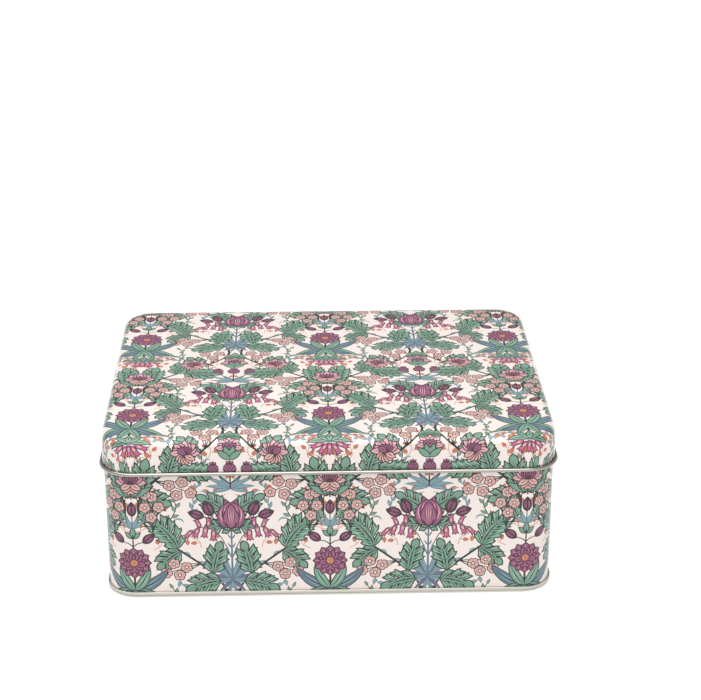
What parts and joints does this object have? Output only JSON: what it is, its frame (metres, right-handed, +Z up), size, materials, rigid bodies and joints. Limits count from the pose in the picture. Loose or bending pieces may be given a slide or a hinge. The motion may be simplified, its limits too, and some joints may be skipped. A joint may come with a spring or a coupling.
{
  "type": "slip-lid tin",
  "caption": "Rectangular printed tinplate box with rounded corners and a lift-off slip lid, for dry food or keepsakes.",
  "frame": {"origin": "centre of the footprint, on the surface the tin stands on", "axes": "+Z up, +X along the long side, the front faces -Y and the lock seam is at the middle of the +Y side"},
  "size_m": [0.25, 0.194, 0.095],
  "materials": {
    "printed_tinplate": "offset-printed cream enamel under a satin varnish",
    "printed_lid": "offset-printed cream enamel under a satin varnish, rolled edge left bare",
    "bare_tinplate": "tinplate under a clear, slightly warm lacquer"
  },
  "bodies": {
    "box": {"body_wall": "printed_tinplate", "base_panel": "bare_tinplate"},
    "lid": {"lid": "printed_lid"}
  },
  "joints": [
    {"name": "lid_lift", "type": "slide", "parent": "box", "child": "lid", "axis": [0, 0, 1], "range_m": [0, 0.08]}
  ]
}
